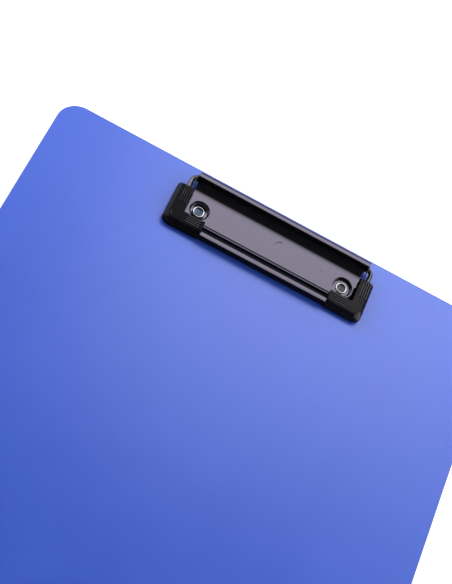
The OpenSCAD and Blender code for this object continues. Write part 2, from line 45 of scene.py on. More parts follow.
# where the clip stands: its origin is on the board's face, half way between the rivets
clip = {
    "origin": (0.0, 137.9, 24.0),
    "rivetX": 38.05,
    "rearBar": (15.1, 3.4),      # y and z of the wire's rear bar, which the jaw turns about
    "frontRun": (-11.35, 3.05),  # y and z of the wire's front run
}


class Signal:
    # one shader socket; sums, products and powers of signals add their own Math nodes
    def __init__(self, tree, socket=None):
        self.tree = tree
        self.socket = socket

    def node(self, kind, settings, inputs, out=0):
        # any node: its settings come first, then the values or links of its sockets
        made = self.tree.nodes.new(kind)
        for key, value in settings.items():
            if key == "stops":
                while len(made.color_ramp.elements) < len(value):
                    made.color_ramp.elements.new(0.5)
                for element, (place, shade) in zip(made.color_ramp.elements, value):
                    element.position = place
                    element.color = (shade, shade, shade, 1)
            else:
                setattr(made, key, value)
        for key, value in inputs.items():
            if isinstance(value, Signal):
                self.tree.links.new(value.socket, made.inputs[key])
            else:
                made.inputs[key].default_value = value
        return Signal(self.tree, made.outputs[out])

    def part(self, axis):
        # one of a vector's three parts: 0, 1 or 2 for x, y or z
        return self.node("ShaderNodeSeparateXYZ", {}, {0: self}, axis)

    def maths(self, operation, first, second):
        return self.node("ShaderNodeMath", {"operation": operation}, {0: first, 1: second})

    def __add__(self, other):
        return self.maths("ADD", self, other)

    def __radd__(self, other):
        return self.maths("ADD", other, self)

    def __sub__(self, other):
        return self.maths("SUBTRACT", self, other)

    def __rsub__(self, other):
        return self.maths("SUBTRACT", other, self)

    def __mul__(self, other):
        return self.maths("MULTIPLY", self, other)

    def __rmul__(self, other):
        return self.maths("MULTIPLY", other, self)

    def __truediv__(self, other):
        return self.maths("DIVIDE", self, other)

    def __pow__(self, other):
        return self.maths("POWER", self, other)


class Finish:
    # a material with one Principled shader; fixed values are set on its own sockets
    def __init__(self, name, **fixed):
        self.material = bpy.data.materials.new(name)
        self.material.use_nodes = True
        self.tree = self.material.node_tree
        self.shader = self.tree.nodes["Principled BSDF"]
        self.start = Signal(self.tree)
        for key, value in fixed.items():
            self.shader.inputs[key.replace("_", " ")].default_value = value
        self.place = self.start.node("ShaderNodeTexCoord", {}, {}, "Object")

    def noise(self, scale, detail, rough, at=None):
        # scale is per metre: the pattern's coarsest bumps are about one over it apart
        inputs = {"Vector": at or self.place, "Scale": scale, "Detail": detail, "Roughness": rough}
        return self.start.node("ShaderNodeTexNoise", {}, inputs)

    def stretched(self, turn, scale):
        # Object coordinates turned and stretched, for streaks
        inputs = {"Vector": self.place, "Rotation": turn, "Scale": scale}
        return self.start.node("ShaderNodeMapping", {}, inputs)

    def ramp(self, value, *stops):
        # grey by value, straight between the stops
        return self.start.node("ShaderNodeValToRGB", {"stops": stops}, {0: value})

    def blendColour(self, mask, first, second):
        # the first colour where the mask is 0 and the second where it is 1
        return self.start.node("ShaderNodeMix", {"data_type": "RGBA"}, {0: mask, 6: first, 7: second}, 2)

    def feed(self, **links):
        # what changes over the surface
        for key, value in links.items():
            self.tree.links.new(value.socket, self.shader.inputs[key.replace("_", " ")])

    def bump(self, height, depth, strength):
        # depth is how far, in metres, a height of 1 stands up
        inputs = {"Height": height, "Distance": depth, "Strength": strength}
        self.feed(Normal=self.start.node("ShaderNodeBump", {}, inputs))


def opaque(r, g, b):
    # a solid colour, its parts in linear light
    return (r, g, b, 1.0)


plastic = {
    "colour": opaque(0.033, 0.099, 0.58),
    "deep": opaque(0.030, 0.093, 0.56),     # the flow clouds wander between deep and pale
    "pale": opaque(0.036, 0.105, 0.60),
    "speck": opaque(0.042, 0.113, 0.63),    # tips of the grain
    "index": 1.6,
    "roughness": 0.31,
    "cloudSwing": 0.08, "grainSwing": 0.10,
    "cloudScale": 22,
    "grainScale": 2300,   # the moulded grain is a little under half a millimetre
    "fineScale": 2300 * 2.7, "fineShare": 0.4,
    "grainDepth": 0.00003,
}


def bluePlastic(name, grain=1.0):
    # moulded polypropylene: fine even grain, faint flow clouds, roughness that wanders a little
    p = plastic
    finish = Finish(name, Base_Color=p["colour"], IOR=p["index"])
    clouds = finish.noise(p["cloudScale"], 4, 0.55)
    speck = finish.noise(p["grainScale"], 2, 0.6)
    fine = finish.noise(p["fineScale"], 1, 0.5)
    colour = finish.blendColour(finish.ramp(clouds, (0.3, 0), (0.7, 1)), p["deep"], p["pale"])
    colour = finish.blendColour(finish.ramp(speck, (0.35, 0), (0.65, 0.22)), colour, p["speck"])
    # roughness: the middle value plus each pattern's swing, less half of both swings
    middle = p["roughness"] - (p["cloudSwing"] + p["grainSwing"]) / 2
    finish.feed(Base_Color=colour, Roughness=clouds * p["cloudSwing"] + speck * p["grainSwing"] + middle)
    finish.bump(speck + fine * p["fineShare"], p["grainDepth"] * grain, 0.6)
    return finish.material


enamel = {
    "colour": opaque(0.0045, 0.0042, 0.0052),
    "dust": opaque(0.03, 0.03, 0.034),
    "rubbed": opaque(0.002, 0.002, 0.002),
    # painted reflection colour: a lavender tint on the enamel's reflections, standing in for the colour of the
    # light
    "paintedReflectionTint": opaque(0.82, 0.75, 1.0),
    "index": 1.7,
    "roughness": 0.12, "hazeSwing": 0.08, "dustRough": 0.12, "markRough": 0.34,
    "peelScale": 420, "peelDepth": 0.000012, "hazeScale": 60, "dustScale": 2600, "markScale": 1300,
    # dull rub marks: three points that a curved stroke runs through, and its half width, in mm
    "marks": [((0.2, 2.9), (1.7, 4.9), (4.1, 5.4), 0.42), ((24.4, 2.75), (25.6, 2.55), (26.9, 2.65), 0.2)],
}


def rubMark(finish, first, middle, last, half):
    # shade of one stroke, 1 on it and 0 off it, on Object coordinates in clip millimetres
    (ax, ay), (bx, by), (cx, cy) = first, middle, last
    x0, y0 = clip["origin"][:2]
    x = (finish.place.part(0) - x0 * mm) * (1 / mm)
    y = (finish.place.part(1) - y0 * mm) * (1 / mm)
    # the stroke is a parabola through its three points: y = ay + p t + q t squared, with t = x - ax
    q = ((cy - ay) / (cx - ax) - (by - ay) / (bx - ax)) / (cx - bx)
    p = (by - ay) / (bx - ax) - q * (bx - ax)
    t = x - ax
    off = y - ay - t * (t * q + p)
    lengthwise = (x - (ax + cx) / 2) / ((cx - ax) / 2)
    # far: square of the distance off the stroke over its half width, plus the fourth power of the
    # distance from its middle over half its length
    far = (off / half) ** 2 + lengthwise ** 4
    return finish.ramp(far * 0.4 + finish.noise(enamel["markScale"], 3, 0.6) * 0.6, (0.45, 1), (0.95, 0))


def blackEnamel(name, marked=False):
    # stoved enamel on steel: faint orange peel, dust and two dull rub marks
    e = enamel
    finish = Finish(name, Base_Color=e["colour"], Specular_Tint=e["paintedReflectionTint"], IOR=e["index"])
    haze = finish.noise(e["hazeScale"], 4, 0.6)
    dust = finish.ramp(finish.noise(e["dustScale"], 2, 0.6), (0.66, 0), (0.74, 1))
    # roughness: the middle value plus the haze's swing less half of it, then dust and marks on top
    roughness = haze * e["hazeSwing"] + (e["roughness"] - e["hazeSwing"] / 2) + dust * e["dustRough"]
    colour = finish.blendColour(dust * 0.5, e["colour"], e["dust"])
    if marked:
        for mark in e["marks"]:
            spot = rubMark(finish, *mark)
            roughness = roughness + spot * e["markRough"]
            colour = finish.blendColour(spot * 0.5, colour, e["rubbed"])
    finish.feed(Base_Color=colour, Roughness=roughness)
    finish.bump(finish.noise(e["peelScale"], 2, 0.5), e["peelDepth"], 0.5)
    return finish.material


rubber = {
    "colour": opaque(0.0042, 0.0034, 0.0054),
    # grey where worn; also the base of the painted highlight on the left side ribs' tops
    "wornAndSheen": opaque(0.0080, 0.0068, 0.0096),
    "crest": opaque(0.045, 0.040, 0.048),          # rib tops, painted highlight: lighter grey standing in for the light the ribs catch
    # the painted highlight, lighter still in worn patches
    "crestHighlightWorn": opaque(0.070, 0.063, 0.074),
    "litFlank": opaque(0.014, 0.0125, 0.016),         # outer side of the left cap, painted light: lighter where the light from the left falls
    # painted shade: darker than the rubber, on the groove floors and the wall beside the plate
    "grooveShade": opaque(0.0022, 0.0020, 0.0024),
    "dull": opaque(0.0070, 0.0064, 0.0074),        # steel under its dip coat where it is out of reach
    "foot": opaque(0.010, 0.0095, 0.0105),         # the jaw's foot, scuffed by paper
    "index": 1.5,
    "roughness": 0.46, "pitSwing": 0.1, "bloomRough": 0.16, "bloomShare": 0.7,
    "pitScale": 5200, "pitDepth": 0.00002, "bloomScale": 260,
}


def capRubber(name, colour, wornAndSheen, gloss):
    # black moulded rubber: satin, finely pitted, slightly greyed where it has been touched
    r = rubber
    finish = Finish(name, Base_Color=colour, IOR=r["index"], Specular_IOR_Level=gloss)
    pits = finish.noise(r["pitScale"], 2, 0.6)
    bloom = finish.ramp(finish.noise(r["bloomScale"], 4, 0.65), (0.42, 0), (0.72, 1))
    # roughness: the middle value plus the pits' swing less half of it, and more where it is greyed
    finish.feed(
        Base_Color=finish.blendColour(bloom * r["bloomShare"], colour, wornAndSheen),
        Roughness=bloom * r["bloomRough"] + pits * r["pitSwing"] + (r["roughness"] - r["pitSwing"] / 2))
    finish.bump(pits, r["pitDepth"], 0.5)
    return finish.material


steel = {
    "lineScale": (60, 4200, 4200),   # along the draw and across it
    "lineSwing": 0.10, "lineDepth": 0.000006,
    "tarnishScale": 330, "tarnishSwing": 0.12,
    "tarnished": (0.55, 0.53, 0.52),   # share of the colour left where it is tarnished
    "allowance": 0.09,                 # taken off the roughness for what the two patterns add
}


def drawnSteel(name, colour, roughness, turn=0.0):
    # drawn wire and pins: fine lines along the length, turned about Z, and a roughness that varies with them
    s = steel
    finish = Finish(name, Base_Color=colour, Metallic=1.0)
    lines = finish.noise(1, 3, 0.6, finish.stretched((0, 0, turn), s["lineScale"]))
    tarnish = finish.noise(s["tarnishScale"], 4, 0.6)
    dark = opaque(*(part * share for part, share in zip(colour, s["tarnished"])))
    finish.feed(
        Base_Color=finish.blendColour(finish.ramp(tarnish, (0.4, 0), (0.75, 0.7)), colour, dark),
        Roughness=lines * s["lineSwing"] + tarnish * s["tarnishSwing"] + (roughness - s["allowance"]))
    finish.bump(lines, s["lineDepth"], 0.5)
    return finish.material


plating = {
    "dentScale": 1500, "dentSwing": 0.10, "dentDepth": 0.00001,
    "cloudScale": 520, "cloudSwing": 0.08,
    "allowance": 0.08,
}


def rivetPlate(name, colour, roughness, bloom=0.7):
    # bright nickel on the rivets and zinc on the washers: small hammer marks and a cloudy bloom,
    # which leaves the given share of the colour
    p = plating
    finish = Finish(name, Base_Color=colour, Metallic=1.0)
    dents = finish.noise(p["dentScale"], 3, 0.5)
    cloud = finish.noise(p["cloudScale"], 4, 0.6)
    dull = opaque(*(part * bloom for part in colour[:3]))
    finish.feed(
        Base_Color=finish.blendColour(finish.ramp(cloud, (0.45, 0), (0.7, 0.6)), colour, dull),
        Roughness=dents * p["dentSwing"] + cloud * p["cloudSwing"] + (roughness - p["allowance"]))
    finish.bump(dents, p["dentDepth"], 0.4)
    return finish.material


# caps: colour, colour where rubbed (on the painted highlights a lighter highlight), gloss; metals: colour and
# roughness
finishes = {
    "board": bluePlastic("boardPlastic"),
    "tray": bluePlastic("trayPlastic", 0.7),
    "latch": bluePlastic("latchPlastic", 0.8),
    "plate": blackEnamel("plateEnamel", True),
    "jaw": blackEnamel("jawEnamel"),
    "capLeft": capRubber("capLeftRubber", rubber["colour"], rubber["wornAndSheen"], 0.06),
    "capRight": capRubber("capRightRubber", rubber["colour"], rubber["wornAndSheen"], 0.17),
    # crest and crestLeft: painted highlights on the rib tops, the left crest's bead and the right cap's front
    # corner
    "crest": capRubber("crestRubber", rubber["crest"], rubber["crestHighlightWorn"], 0.3),
    "crestLeft": capRubber("crestLeftRubber", rubber["wornAndSheen"], rubber["crestHighlightWorn"], 0.15),
    # painted light on the left cap's outer side
    "litFlank": capRubber("litFlankRubber", rubber["litFlank"], rubber["crest"], 0.1),
    # painted shade in the grooves and on the cap's wall beside the plate
    "grooveShade": capRubber("grooveShadeRubber", rubber["grooveShade"], rubber["colour"], 0.02),
    "dull": capRubber("dullEnamel", rubber["dull"], rubber["wornAndSheen"], 0.1),
    "foot": capRubber("footEnamel", rubber["foot"], rubber["wornAndSheen"], 0.1),
    "wire": drawnSteel("wireSteel", opaque(0.078, 0.076, 0.082), 0.18),
    "spring": drawnSteel("springSteel", opaque(0.05, 0.05, 0.055), 0.3),
    "pin": drawnSteel("pinSteel", opaque(0.55, 0.55, 0.57), 0.26, math.pi / 2),
    "rivet": rivetPlate("rivetNickel", opaque(0.62, 0.63, 0.66), 0.16),
    # painted shade in the rivets' hollows; the left one also a painted blue reflection of the board
    "plugLeft": rivetPlate("plugLeftSteel", opaque(0.085, 0.12, 0.175), 0.5, 0.35),
    "plugRight": rivetPlate("plugRightSteel", opaque(0.09, 0.088, 0.098), 0.5, 0.35),
    "washer": rivetPlate("washerZinc", opaque(0.60, 0.62, 0.65), 0.30),
}
print("finishes made,", len(finishes))


# CAD nodes that keep their shape and get a better finish
for nodeName, finish in {
    "lid_board": "board", "base_tray": "tray", "side_latch": "latch",
    "hinge_pin_upper": "pin", "hinge_pin_lower": "pin", "latch_pin": "pin",
    "rivet_washer_left": "washer", "rivet_washer_right": "washer",
}.items():
    nodes[nodeName].data.materials.clear()
    nodes[nodeName].data.materials.append(finishes[finish])
print("CAD nodes finished")


def inClip(points):
    # clip millimetres to metres in the frame: the clip's origin is added, then all is scaled
    return (np.asarray(points, float) + clip["origin"]) * mm


def arc(centre, radius, start, end, steps):
    # points on a circle: centre plus radius times cosine and sine of evenly spaced angles
    angle = np.radians(np.linspace(start, end, steps + 1))
    return np.stack([centre[0] + radius * np.cos(angle), centre[1] + radius * np.sin(angle)], 1)


def ease(t):
    # smooth step: three t squared minus two t cubed, held between 0 and 1
    t = np.clip(t, 0, 1)
    return t * t * (3 - 2 * t)


def joined(*parts):
    # strings point lists together and drops each point that stands on the one before it
    points = np.concatenate([np.asarray(part, float) for part in parts])
    step = np.linalg.norm(np.diff(points, axis=0), axis=1)
    return points[np.concatenate([[True], step > 1e-6])]


def roundedPath(corners, radii, steps, closed=False):
    # each corner gives way to an arc that touches both of its sides; with half the corner's angle, the arc's
    # centre lies radius over sine along its middle line and the arc starts radius over tangent from the corner
    corners = [np.asarray(c, float) for c in corners]
    count = len(corners)
    points = []
    for i, (corner, radius) in enumerate(zip(corners, radii)):
        if radius <= 0 or (not closed and i in (0, count - 1)):
            points.append(corner[None])
            continue
        back = corners[i - 1] - corner
        ahead = corners[(i + 1) % count] - corner
        back = back / np.linalg.norm(back)
        ahead = ahead / np.linalg.norm(ahead)
        half = math.acos(np.clip(back @ ahead, -1, 1)) / 2
        middle = (back + ahead) / np.linalg.norm(back + ahead)
        centre = corner + middle * radius / math.sin(half)
        start = corner + back * radius / math.tan(half) - centre
        end = corner + ahead * radius / math.tan(half) - centre
        # points turn evenly from start to end: each is weighed by the sine of its own share of the sweep
        sweep = math.pi - 2 * half
        t = np.linspace(0, 1, steps + 1)[:, None]
        points.append(centre + (np.sin((1 - t) * sweep) * start + np.sin(t * sweep) * end) / math.sin(sweep))
    return np.concatenate(points)


def gridFaces(rows, columns, wrapRows=False, wrapColumns=False, keep=None):
    # four corners of every cell of a grid whose points are numbered row by row: a point's number is its row
    # times the number of columns, plus its column
    r = np.arange(rows if wrapRows else rows - 1)
    c = np.arange(columns if wrapColumns else columns - 1)
    r, c = np.meshgrid(r, c, indexing="ij")
    if keep is not None:
        r, c = r[keep], c[keep]
    r2, c2 = (r + 1) % rows, (c + 1) % columns
    return np.stack([r * columns + c, r * columns + c2, r2 * columns + c2, r2 * columns + c], -1).reshape(-1, 4)


edges = {"segments": 3, "angle": 50, "merge": 1e-6, "sliver": 1e-7}   # bevels in degrees, distances in metres


class Shell:
    # gathers points and faces of one piece, in clip millimetres
    def __init__(self):
        self.points = []
        self.faces = []
        self.count = 0

    def add(self, points, *faceLists):
        points = np.asarray(points, float).reshape(-1, 3)
        for faces in faceLists:
            self.faces += (np.asarray(faces) + self.count).tolist()
        self.points.append(points)
        self.count += len(points)

    def surface(self, grid, wrapRows=False, wrapColumns=False, keep=None):
        rows, columns = grid.shape[:2]
        self.add(grid, gridFaces(rows, columns, wrapRows, wrapColumns, keep))

    def loft(self, rings):
        # closed rings of equal length joined in turn, with a flat face on the first and the last
        rings = np.asarray(rings, float)
        rows, columns = rings.shape[:2]
        last = np.arange((rows - 1) * columns, rows * columns)
        self.add(rings, gridFaces(rows, columns, False, True), [np.arange(columns)[::-1]], [last])

    def carried(self, section, xs):
        # a closed section in y and z, carried along X
        section = np.asarray(section, float)
        xs = np.asarray(xs, float)
        ring = np.zeros((len(xs), len(section), 3))
        ring[:, :, 0] = xs[:, None]
        ring[:, :, 1:] = section[None]
        self.loft(ring)

    def tube(self, path, radius, sides, up):
        # a circle carried along a path; up is a direction across the path at each point
        path = np.asarray(path, float)
        ahead = np.gradient(path, axis=0)
        ahead /= np.linalg.norm(ahead, axis=1)[:, None]
        up = np.broadcast_to(np.asarray(up, float), path.shape)
        side = np.cross(ahead, up)
        side /= np.linalg.norm(side, axis=1)[:, None]
        top = np.cross(side, ahead)
        # ring: the path's point plus radius times (cosine of the angle times side, plus sine times top)
        angle = np.arange(sides) * 2 * math.pi / sides
        radius = np.broadcast_to(np.asarray(radius, float), (len(path),))[:, None, None]
        ring = path[:, None] + radius * (
            np.cos(angle)[None, :, None] * side[:, None] + np.sin(angle)[None, :, None] * top[:, None])
        self.loft(ring)

    def revolved(self, profile, axisX, sides):
        # a profile of radius and height turned about a vertical axis: x is the axis plus the radius times the
        # angle's cosine, and y is the radius times its sine; the first and last radius are 0
        angle = np.arange(sides) * 2 * math.pi / sides
        r, z = np.asarray(profile, float).T
        self.loft(np.stack([
            axisX + r[:, None] * np.cos(angle)[None], r[:, None] * np.sin(angle)[None],
            np.broadcast_to(z[:, None], (len(r), sides))], -1))

    def piece(self, name, finish, body, replaced, slot, sharp=35, bevel=0, thickness=0,
              merge=edges["merge"], others=()):
        points = inClip(np.concatenate(self.points))
        mesh = bpy.data.meshes.new(name)
        mesh.from_pydata(points.tolist(), [], self.faces)
        work = bmesh.new()
        work.from_mesh(mesh)
        bmesh.ops.remove_doubles(work, verts=work.verts, dist=merge)
        bmesh.ops.dissolve_degenerate(work, edges=work.edges, dist=edges["sliver"])
        bmesh.ops.recalc_face_normals(work, faces=work.faces)
        work.to_mesh(mesh)
        work.free()
        mesh.polygons.foreach_set("use_smooth", np.ones(len(mesh.polygons), bool))
        obj = bpy.data.objects.new(name, mesh)
        bpy.context.scene.collection.objects.link(obj)
        mesh.materials.append(finishes[finish])
        # other finishes go on the faces whose centres the given tests pick, in clip millimetres
        centre = np.zeros(len(mesh.polygons) * 3)
        mesh.polygons.foreach_get("center", centre)
        index = np.zeros(len(mesh.polygons), np.int32)
        for i, (other, test) in enumerate(others):
            mesh.materials.append(finishes[other])
            index[test(*(centre.reshape(-1, 3) / mm - clip["origin"]).T)] = i + 1
        mesh.polygons.foreach_set("material_index", index)
        if thickness:
            wall = obj.modifiers.new("sheet", "SOLIDIFY")
            wall.thickness = thickness * mm
            wall.offset = -1
            wall.use_even_offset = True
        if bevel:
            edge = obj.modifiers.new("edges", "BEVEL")
            edge.width = bevel * mm
            edge.segments = edges["segments"]
            edge.limit_method = "ANGLE"
            edge.angle_limit = math.radians(edges["angle"])
            edge.harden_normals = True
        mesh.set_sharp_from_angle(angle=math.radians(sharp))
        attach(obj, body)
        if replaced:
            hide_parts(replaced)
        print("piece", name, len(mesh.polygons), "faces")


plate = {
    "sheet": 0.7,
    "front": -6.7, "frontBend": 0.1, "strip": 2.4, "top": 3.0,
    "step": -5.85, "stepHalf": 0.075,     # middle and half width of the step up from the strip
    "foot": 0.15,
    "flatRear": 6.3, "quicken": 1.3, "wall": 12.65,
    "lip": 9.3, "lipBend": 0.4, "roll": 1.65, "rear": 16.05, "rearDrop": 0.4,
    "half": 44.5, "lipHalf": 45.6,
    "flareFrom": 3.6, "flareOver": 3.4,   # height where the ends start to flare, and over which they do
    "spread": 40,                         # X past which the ends spread
    "patch": 5.3, "across": 25,           # half side of the square round each dish, and points along a side
    "dish": 5.0, "seat": 1.0, "hole": 2.6, "coneRings": (2.9, 3.6), "rim": 0.12,
    "wallFoot": (4.0, 4.3), "coneTop": (1.5, 1.04),   # left and right dish
    "dishSoft": 0.2,                      # share of the dish wall's slope that each rounding takes
    # relief at the right-hand end: its round edge, rear end, how far past the rivet it starts, and its turn
    "notch": 5.55, "notchY": 2.8, "notchX": 2.8, "notchTurn": 62,
    "flange": 0.2, "flangeDrop": 1.5,     # the bend down at each end
    "dullY": 1.2, "dullZ": 0.1,           # where the thin coat starts, from the rear edge and below the lip
    "bevel": 0.12, "merge": 2e-5,
}


def sweepCurve():
    # the curve from the flat up to the wall: its slope angle is 1.3 degrees times the squared length run,
    # until it stands upright; then it is stretched in height and depth to end at the wall
    p = plate
    steps = 48
    reach = math.sqrt(90 / p["quicken"])
    along = np.linspace(0, reach, steps + 1)
    angle = np.radians(p["quicken"] * along ** 2)
    # y and z: running sums of the angle's cosine and sine times the step, each the mean of both its ends
    y = np.concatenate([[0], np.cumsum((np.cos(angle[1:]) + np.cos(angle[:-1])) / 2 * reach / steps)])
    z = np.concatenate([[0], np.cumsum((np.sin(angle[1:]) + np.sin(angle[:-1])) / 2 * reach / steps)])
    return np.stack([p["flatRear"] + y * (p["wall"] - p["flatRear"]) / y[-1], p["top"] + z], 1)


def plateSection():
    # upper face of the sheet from the front wall to the lip's rear edge, as y, z
    p = plate
    bend, patch, across = p["frontBend"], p["patch"], p["across"]
    # the step: height grows from strip to top by an eased share of the way across it
    share = np.linspace(0, 1, 7)
    stepY = p["step"] + (2 * share - 1) * p["stepHalf"]
    step = np.stack([stepY, p["strip"] + (p["top"] - p["strip"]) * ease(share)], 1)
    return joined(
        [(p["front"], p["foot"]), (p["front"], 1.0)],
        arc((p["front"] + bend, p["strip"] - bend), bend, 180, 90, 4),
        step,
        np.stack([np.linspace(-patch, patch, across), np.full(across, p["top"])], 1),
        [(patch + 0.5, p["top"])],
        sweepCurve(),
        arc((p["wall"] + p["lipBend"], p["lip"] - p["lipBend"]), p["lipBend"], 180, 90, 8),
        arc((p["rear"] - p["roll"], p["lip"] - p["roll"]), p["roll"], 90, 0, 16),
        [(p["rear"], p["lip"] - p["roll"] - p["rearDrop"])])


def dishHeight(r, foot, coneTop):
    # height of the dish by radius: a shallow cone from the seat to its top, straight in r, then a steep wall;
    # the wall's slope share s is bent to s squared over twice the soft share at its foot, to s less half the
    # soft share along it, and at its rim to the same curve as at the foot, turned over
    p = plate
    soft = p["dishSoft"]
    cone = p["seat"] + (coneTop - p["seat"]) * (r - p["hole"]) / (foot - p["hole"])
    slope = np.clip((r - foot) / (p["dish"] - foot), 0, 1)
    bent = np.where(slope < soft, slope ** 2 / (2 * soft), slope - soft / 2)
    bent = np.where(slope > 1 - soft, 1 - soft - (1 - slope) ** 2 / (2 * soft), bent)
    wall = coneTop + (p["top"] - coneTop) * bent / (1 - soft)
    return np.where(r < foot, cone, wall)


def plateSheet(shell, section):
    # the section carried along X, with squares left open for the dishes and a relief at the right-hand end
    p = plate
    s, across = p["patch"], p["across"]
    y, z = section[:, 0], section[:, 1]
    left, right = -clip["rivetX"], clip["rivetX"]
    end = p["half"] - p["flange"]
    xs = np.unique(np.concatenate([
        [-end], np.linspace(left - s, left + s, across), np.linspace(left + s, right - s, 60)[1:-1],
        np.linspace(right - s, right + s, across), [end]]))
    # past the sweep the ends flare out to the lip's length: x grows by an eased share of the height,
    # times an eased share of the way from the spread's start to the end
    flare = ease((z - p["flareFrom"]) / p["flareOver"]) * np.where(y > 8, p["lipHalf"] - p["half"], 0)
    spread = ease((np.abs(xs) - p["spread"]) / (p["half"] - p["spread"]))
    grid = np.zeros((len(y), len(xs), 3))
    grid[:, :, 0] = xs[None] + np.sign(xs)[None] * spread[None] * flare[:, None]
    grid[:, :, 1] = y[:, None]
    grid[:, :, 2] = z[:, None]
    midX = (xs[1:] + xs[:-1]) / 2
    midY = (y[1:] + y[:-1]) / 2
    keep = np.ones((len(midY), len(midX)), bool)
    flat = (np.abs(midY) < s) & (np.arange(len(midY)) > 8)
    for x in (left, right):
        keep &= ~(flat[:, None] & (np.abs(midX - x) < s)[None])
    low = (midY < p["notchY"]) & (z[1:] < p["top"] + 0.01)
    keep &= ~(low[:, None] & (midX > right + s)[None])
    keep &= ~((low & (midY < -s))[:, None] & (midX > right + p["notchX"])[None])
    shell.surface(grid, keep=keep)


def plateDishes(shell):
    # rings pass from each dish's circles to the square's own points
    p = plate
    s = p["patch"]
    side = np.linspace(-s, s, p["across"])[:-1]
    square = np.concatenate([
        np.stack([side, side * 0 - s], 1), np.stack([side * 0 + s, side], 1),
        np.stack([-side, side * 0 + s], 1), np.stack([side * 0 - s, -side], 1)])
    angle = np.arctan2(square[:, 1], square[:, 0])
    rim = np.stack([np.cos(angle), np.sin(angle)], 1)
    for sign, foot, coneTop in zip((-1, 1), p["wallFoot"], p["coneTop"]):
        radii = np.concatenate([[p["hole"], *p["coneRings"]], np.linspace(foot, p["dish"], 13)])
        outer = square.copy()
        if sign > 0:
            # the right square is cut back to a circle where the relief passes it
            cut = (angle < 0.02) & (angle > -math.radians(p["notchTurn"]))
            reach = np.minimum(np.linalg.norm(square, axis=1), p["notch"])
            outer[cut] = rim[cut] * reach[cut, None]
        # a narrow flat ring round the dish keeps its rim crisp
        flatRing = rim[None] * (p["dish"] + p["rim"])
        height = np.concatenate([dishHeight(radii, foot, coneTop), [p["top"]] * 2])
        ring = np.zeros((len(height), len(angle), 3))
        ring[:, :, :2] = np.concatenate([rim[None] * radii[:, None, None], flatRing, outer[None]])
        ring[:, :, 0] += sign * clip["rivetX"]
        ring[:, :, 2] = height[:, None]
        shell.surface(ring, wrapColumns=True)


def plateFlanges(shell, section):
    # the flat turns down at both ends: a bend, then straight down to the foot
    p = plate
    y, z = section[:, 0], section[:, 1]
    bend = p["flange"]
    drop = joined(
        [(0, 0)], arc((0.0, -bend), bend, 90, 0, 5), [(bend, -p["flangeDrop"]), (bend, p["foot"] - p["top"])])
    for sign, start in ((-1, -p["patch"]), (1, p["notchY"])):
        rows = (y > start - 0.3) & (y < p["flatRear"] + 0.01) & (z < p["top"] + 0.01)
        ring = np.zeros((rows.sum(), len(drop), 3))
        ring[:, :, 0] = sign * (p["half"] - bend + drop[:, 0] * 0.99)[None]
        ring[:, :, 1] = y[rows][:, None]
        ring[:, :, 2] = p["top"] + drop[:, 1][None]
        shell.surface(ring)


def makePlate():
    p = plate
    section = plateSection()
    shell = Shell()
    plateSheet(shell, section)
    plateDishes(shell)
    plateFlanges(shell, section)
    # the rolled rear edge is duller below its crown, where the dip coat is thin
    thinCoat = ("dull", lambda x, y, z: (y > p["rear"] - p["dullY"]) & (z < p["lip"] - p["dullZ"]))
    shell.piece("clipPlate", "plate", "lid", "clip_plate", "clip_black",
                bevel=p["bevel"], thickness=p["sheet"], merge=p["merge"], others=[thinCoat])


ear = {
    "x": 38.1, "half": 0.5, "edge": 0.12,   # half thickness, and width of the chamfer
    "bore": 1.15, "boss": 2.3,
    "webFront": 1.7, "webRear": 0.3, "webTop": 5.1,
}


def makeEars():
    # each ear: rays from the wire's centre, as long as a round boss or, upwards, as the web to the lip;
    # a ray meets the web's side at that side's distance over the ray's own share in that direction
    e = ear
    yBar, zBar = clip["rearBar"]
    angle = np.arange(64) * 2 * math.pi / 64
    cosA, sinA = np.cos(angle), np.sin(angle)
    tiny, far = 1e-6, 99
    rear = np.where(cosA > tiny, e["webRear"] / np.maximum(cosA, tiny), far)
    front = np.where(cosA < -tiny, e["webFront"] / np.maximum(-cosA, tiny), far)
    top = np.where(sinA > tiny, e["webTop"] / np.maximum(sinA, tiny), 0)
    reach = np.maximum(e["boss"], np.minimum(np.minimum(rear, front), top))
    bore, inner, chamfer = angle * 0 + e["bore"], reach - e["edge"], e["half"] - e["edge"]
    shell = Shell()
    for x in (-e["x"], e["x"]):
        rings = [
            np.stack([x + angle * 0 + dx, yBar + r * cosA, zBar + r * sinA], 1)
            for r, dx in ((inner, -e["half"]), (reach, -chamfer), (reach, chamfer), (inner, e["half"]),
                          (bore, e["half"]), (bore, -e["half"]))]
        shell.surface(np.asarray(rings), wrapRows=True, wrapColumns=True)
    shell.piece("plateEars", "jaw", "lid", None, "clip_black")


makePlate()
makeEars()


jaw = {
    "front": -12.75, "sheet": 0.8, "bend": 0.16, "top": 5.0, "depth": 2.15,
    "foot": 0.35, "footDepth": 5.5, "footSheet": 0.7,
    "footBend": 0.6, "edge": 0.2, "insideBend": 0.1,
    "half": 32.95, "straps": (-22, 0, 22), "strapWidth": 6.0, "strap": (1.85, 1.15),   # outer and inner radius
    "dull": 0.12, "scuffed": (1.2, 1.0),   # below the top; below this height and behind the front
}


